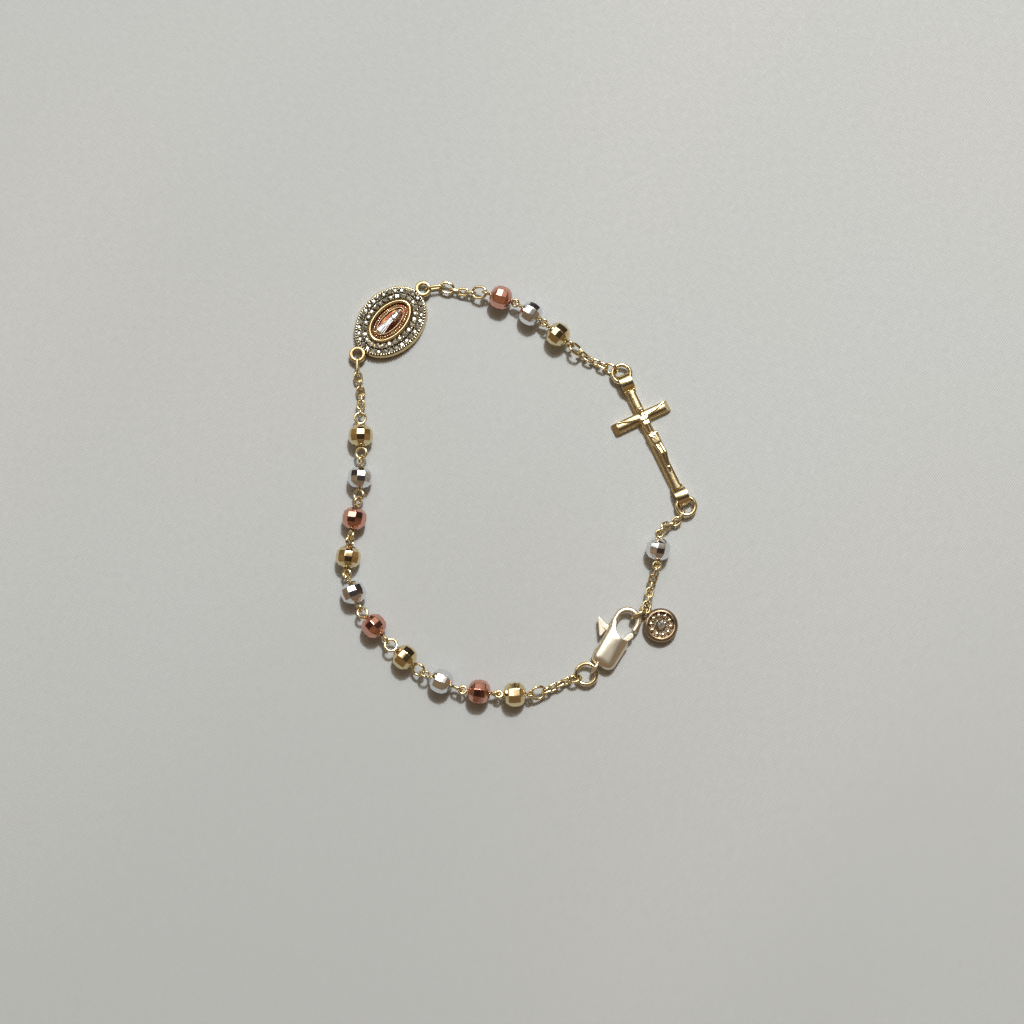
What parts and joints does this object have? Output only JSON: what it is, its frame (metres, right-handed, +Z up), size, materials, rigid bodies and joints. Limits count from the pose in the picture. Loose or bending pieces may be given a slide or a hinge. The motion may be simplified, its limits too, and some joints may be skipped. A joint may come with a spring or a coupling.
{
  "type": "rosary bracelet",
  "caption": "Rosary bracelet closed on its lobster clasp: faceted metal beads on eye pins, fine chains, a stone-set oval medal, a small crucifix and a round charm.",
  "frame": {"origin": "middle of the bounding box at the table's surface, with the bracelet lying flat and closed", "axes": "+Z up from the table; +Y from the clasp's end of the loop towards the medal's end, along the longest extent; +X towards the cross"},
  "size_m": [0.0594, 0.071, 0.004],
  "materials": {
    "yellow_gold_mirror": "polished yellow gold plate with cut mirror facets",
    "rose_gold_mirror": "polished rose gold plate with cut mirror facets",
    "white_metal_mirror": "polished white metal plate with cut mirror facets",
    "yellow_gold_wire": "drawn wire, polished yellow gold plate",
    "yellow_gold_cast": "cast and polished yellow gold plate",
    "pale_gold_satin": "cast, soft satin champagne gold plate",
    "pale_gold_cast": "cast pale gold plate between the stones",
    "rose_gold_cast": "cast rose gold plate with a bright yellow rim",
    "white_metal_cast": "cast white metal plate",
    "clear_stone": "clear cut stone"
  },
  "bodies": {
    "bracelet": {"bead_01": "yellow_gold_mirror", "bead_02": "rose_gold_mirror", "bead_03": "white_metal_mirror", "bead_04": "yellow_gold_mirror", "bead_05": "rose_gold_mirror", "bead_06": "white_metal_mirror", "bead_07": "yellow_gold_mirror", "bead_08": "rose_gold_mirror", "bead_09": "white_metal_mirror", "bead_10": "yellow_gold_mirror", "bead_11": "rose_gold_mirror", "bead_12": "white_metal_mirror", "bead_13": "yellow_gold_mirror", "bead_14": "white_metal_mirror", "eye_pin_01": "yellow_gold_wire", "eye_pin_02": "yellow_gold_wire", "eye_pin_03": "yellow_gold_wire", "eye_pin_04": "yellow_gold_wire", "eye_pin_05": "yellow_gold_wire", "eye_pin_06": "yellow_gold_wire", "eye_pin_07": "yellow_gold_wire", "eye_pin_08": "yellow_gold_wire", "eye_pin_09": "yellow_gold_wire", "eye_pin_10": "yellow_gold_wire", "eye_pin_11": "yellow_gold_wire", "eye_pin_12": "yellow_gold_wire", "eye_pin_13": "yellow_gold_wire", "eye_pin_14": "yellow_gold_wire", "clasp_body": "pale_gold_satin", "clasp_ring": "yellow_gold_wire", "end_ring": "yellow_gold_wire", "chain_clasp": "yellow_gold_wire", "chain_medal_left": "yellow_gold_wire", "chain_medal_right": "yellow_gold_wire", "chain_cross_top": "yellow_gold_wire", "chain_cross_bottom": "yellow_gold_wire", "chain_end": "yellow_gold_wire", "medal_body": "pale_gold_cast", "medal_plaque": "rose_gold_cast", "medal_figure": "white_metal_cast", "medal_stones": "clear_stone", "medal_link_left": "yellow_gold_wire", "medal_link_right": "yellow_gold_wire", "crucifix": "yellow_gold_cast", "cross_ring_top": "yellow_gold_wire", "cross_ring_bottom": "yellow_gold_wire", "charm": "pale_gold_satin", "charm_stone": "clear_stone"},
    "lever": {"clasp_lever": "pale_gold_satin"}
  },
  "joints": [
    {"name": "lever_hinge", "type": "hinge", "parent": "bracelet", "child": "lever", "pos_m": [0.01677, -0.02536, 0.0014], "axis": [0, 0, 1], "range_deg": [0, 30], "stiffness_Nm_per_rad": 0.00002, "springref_deg": -17.19}
  ]
}
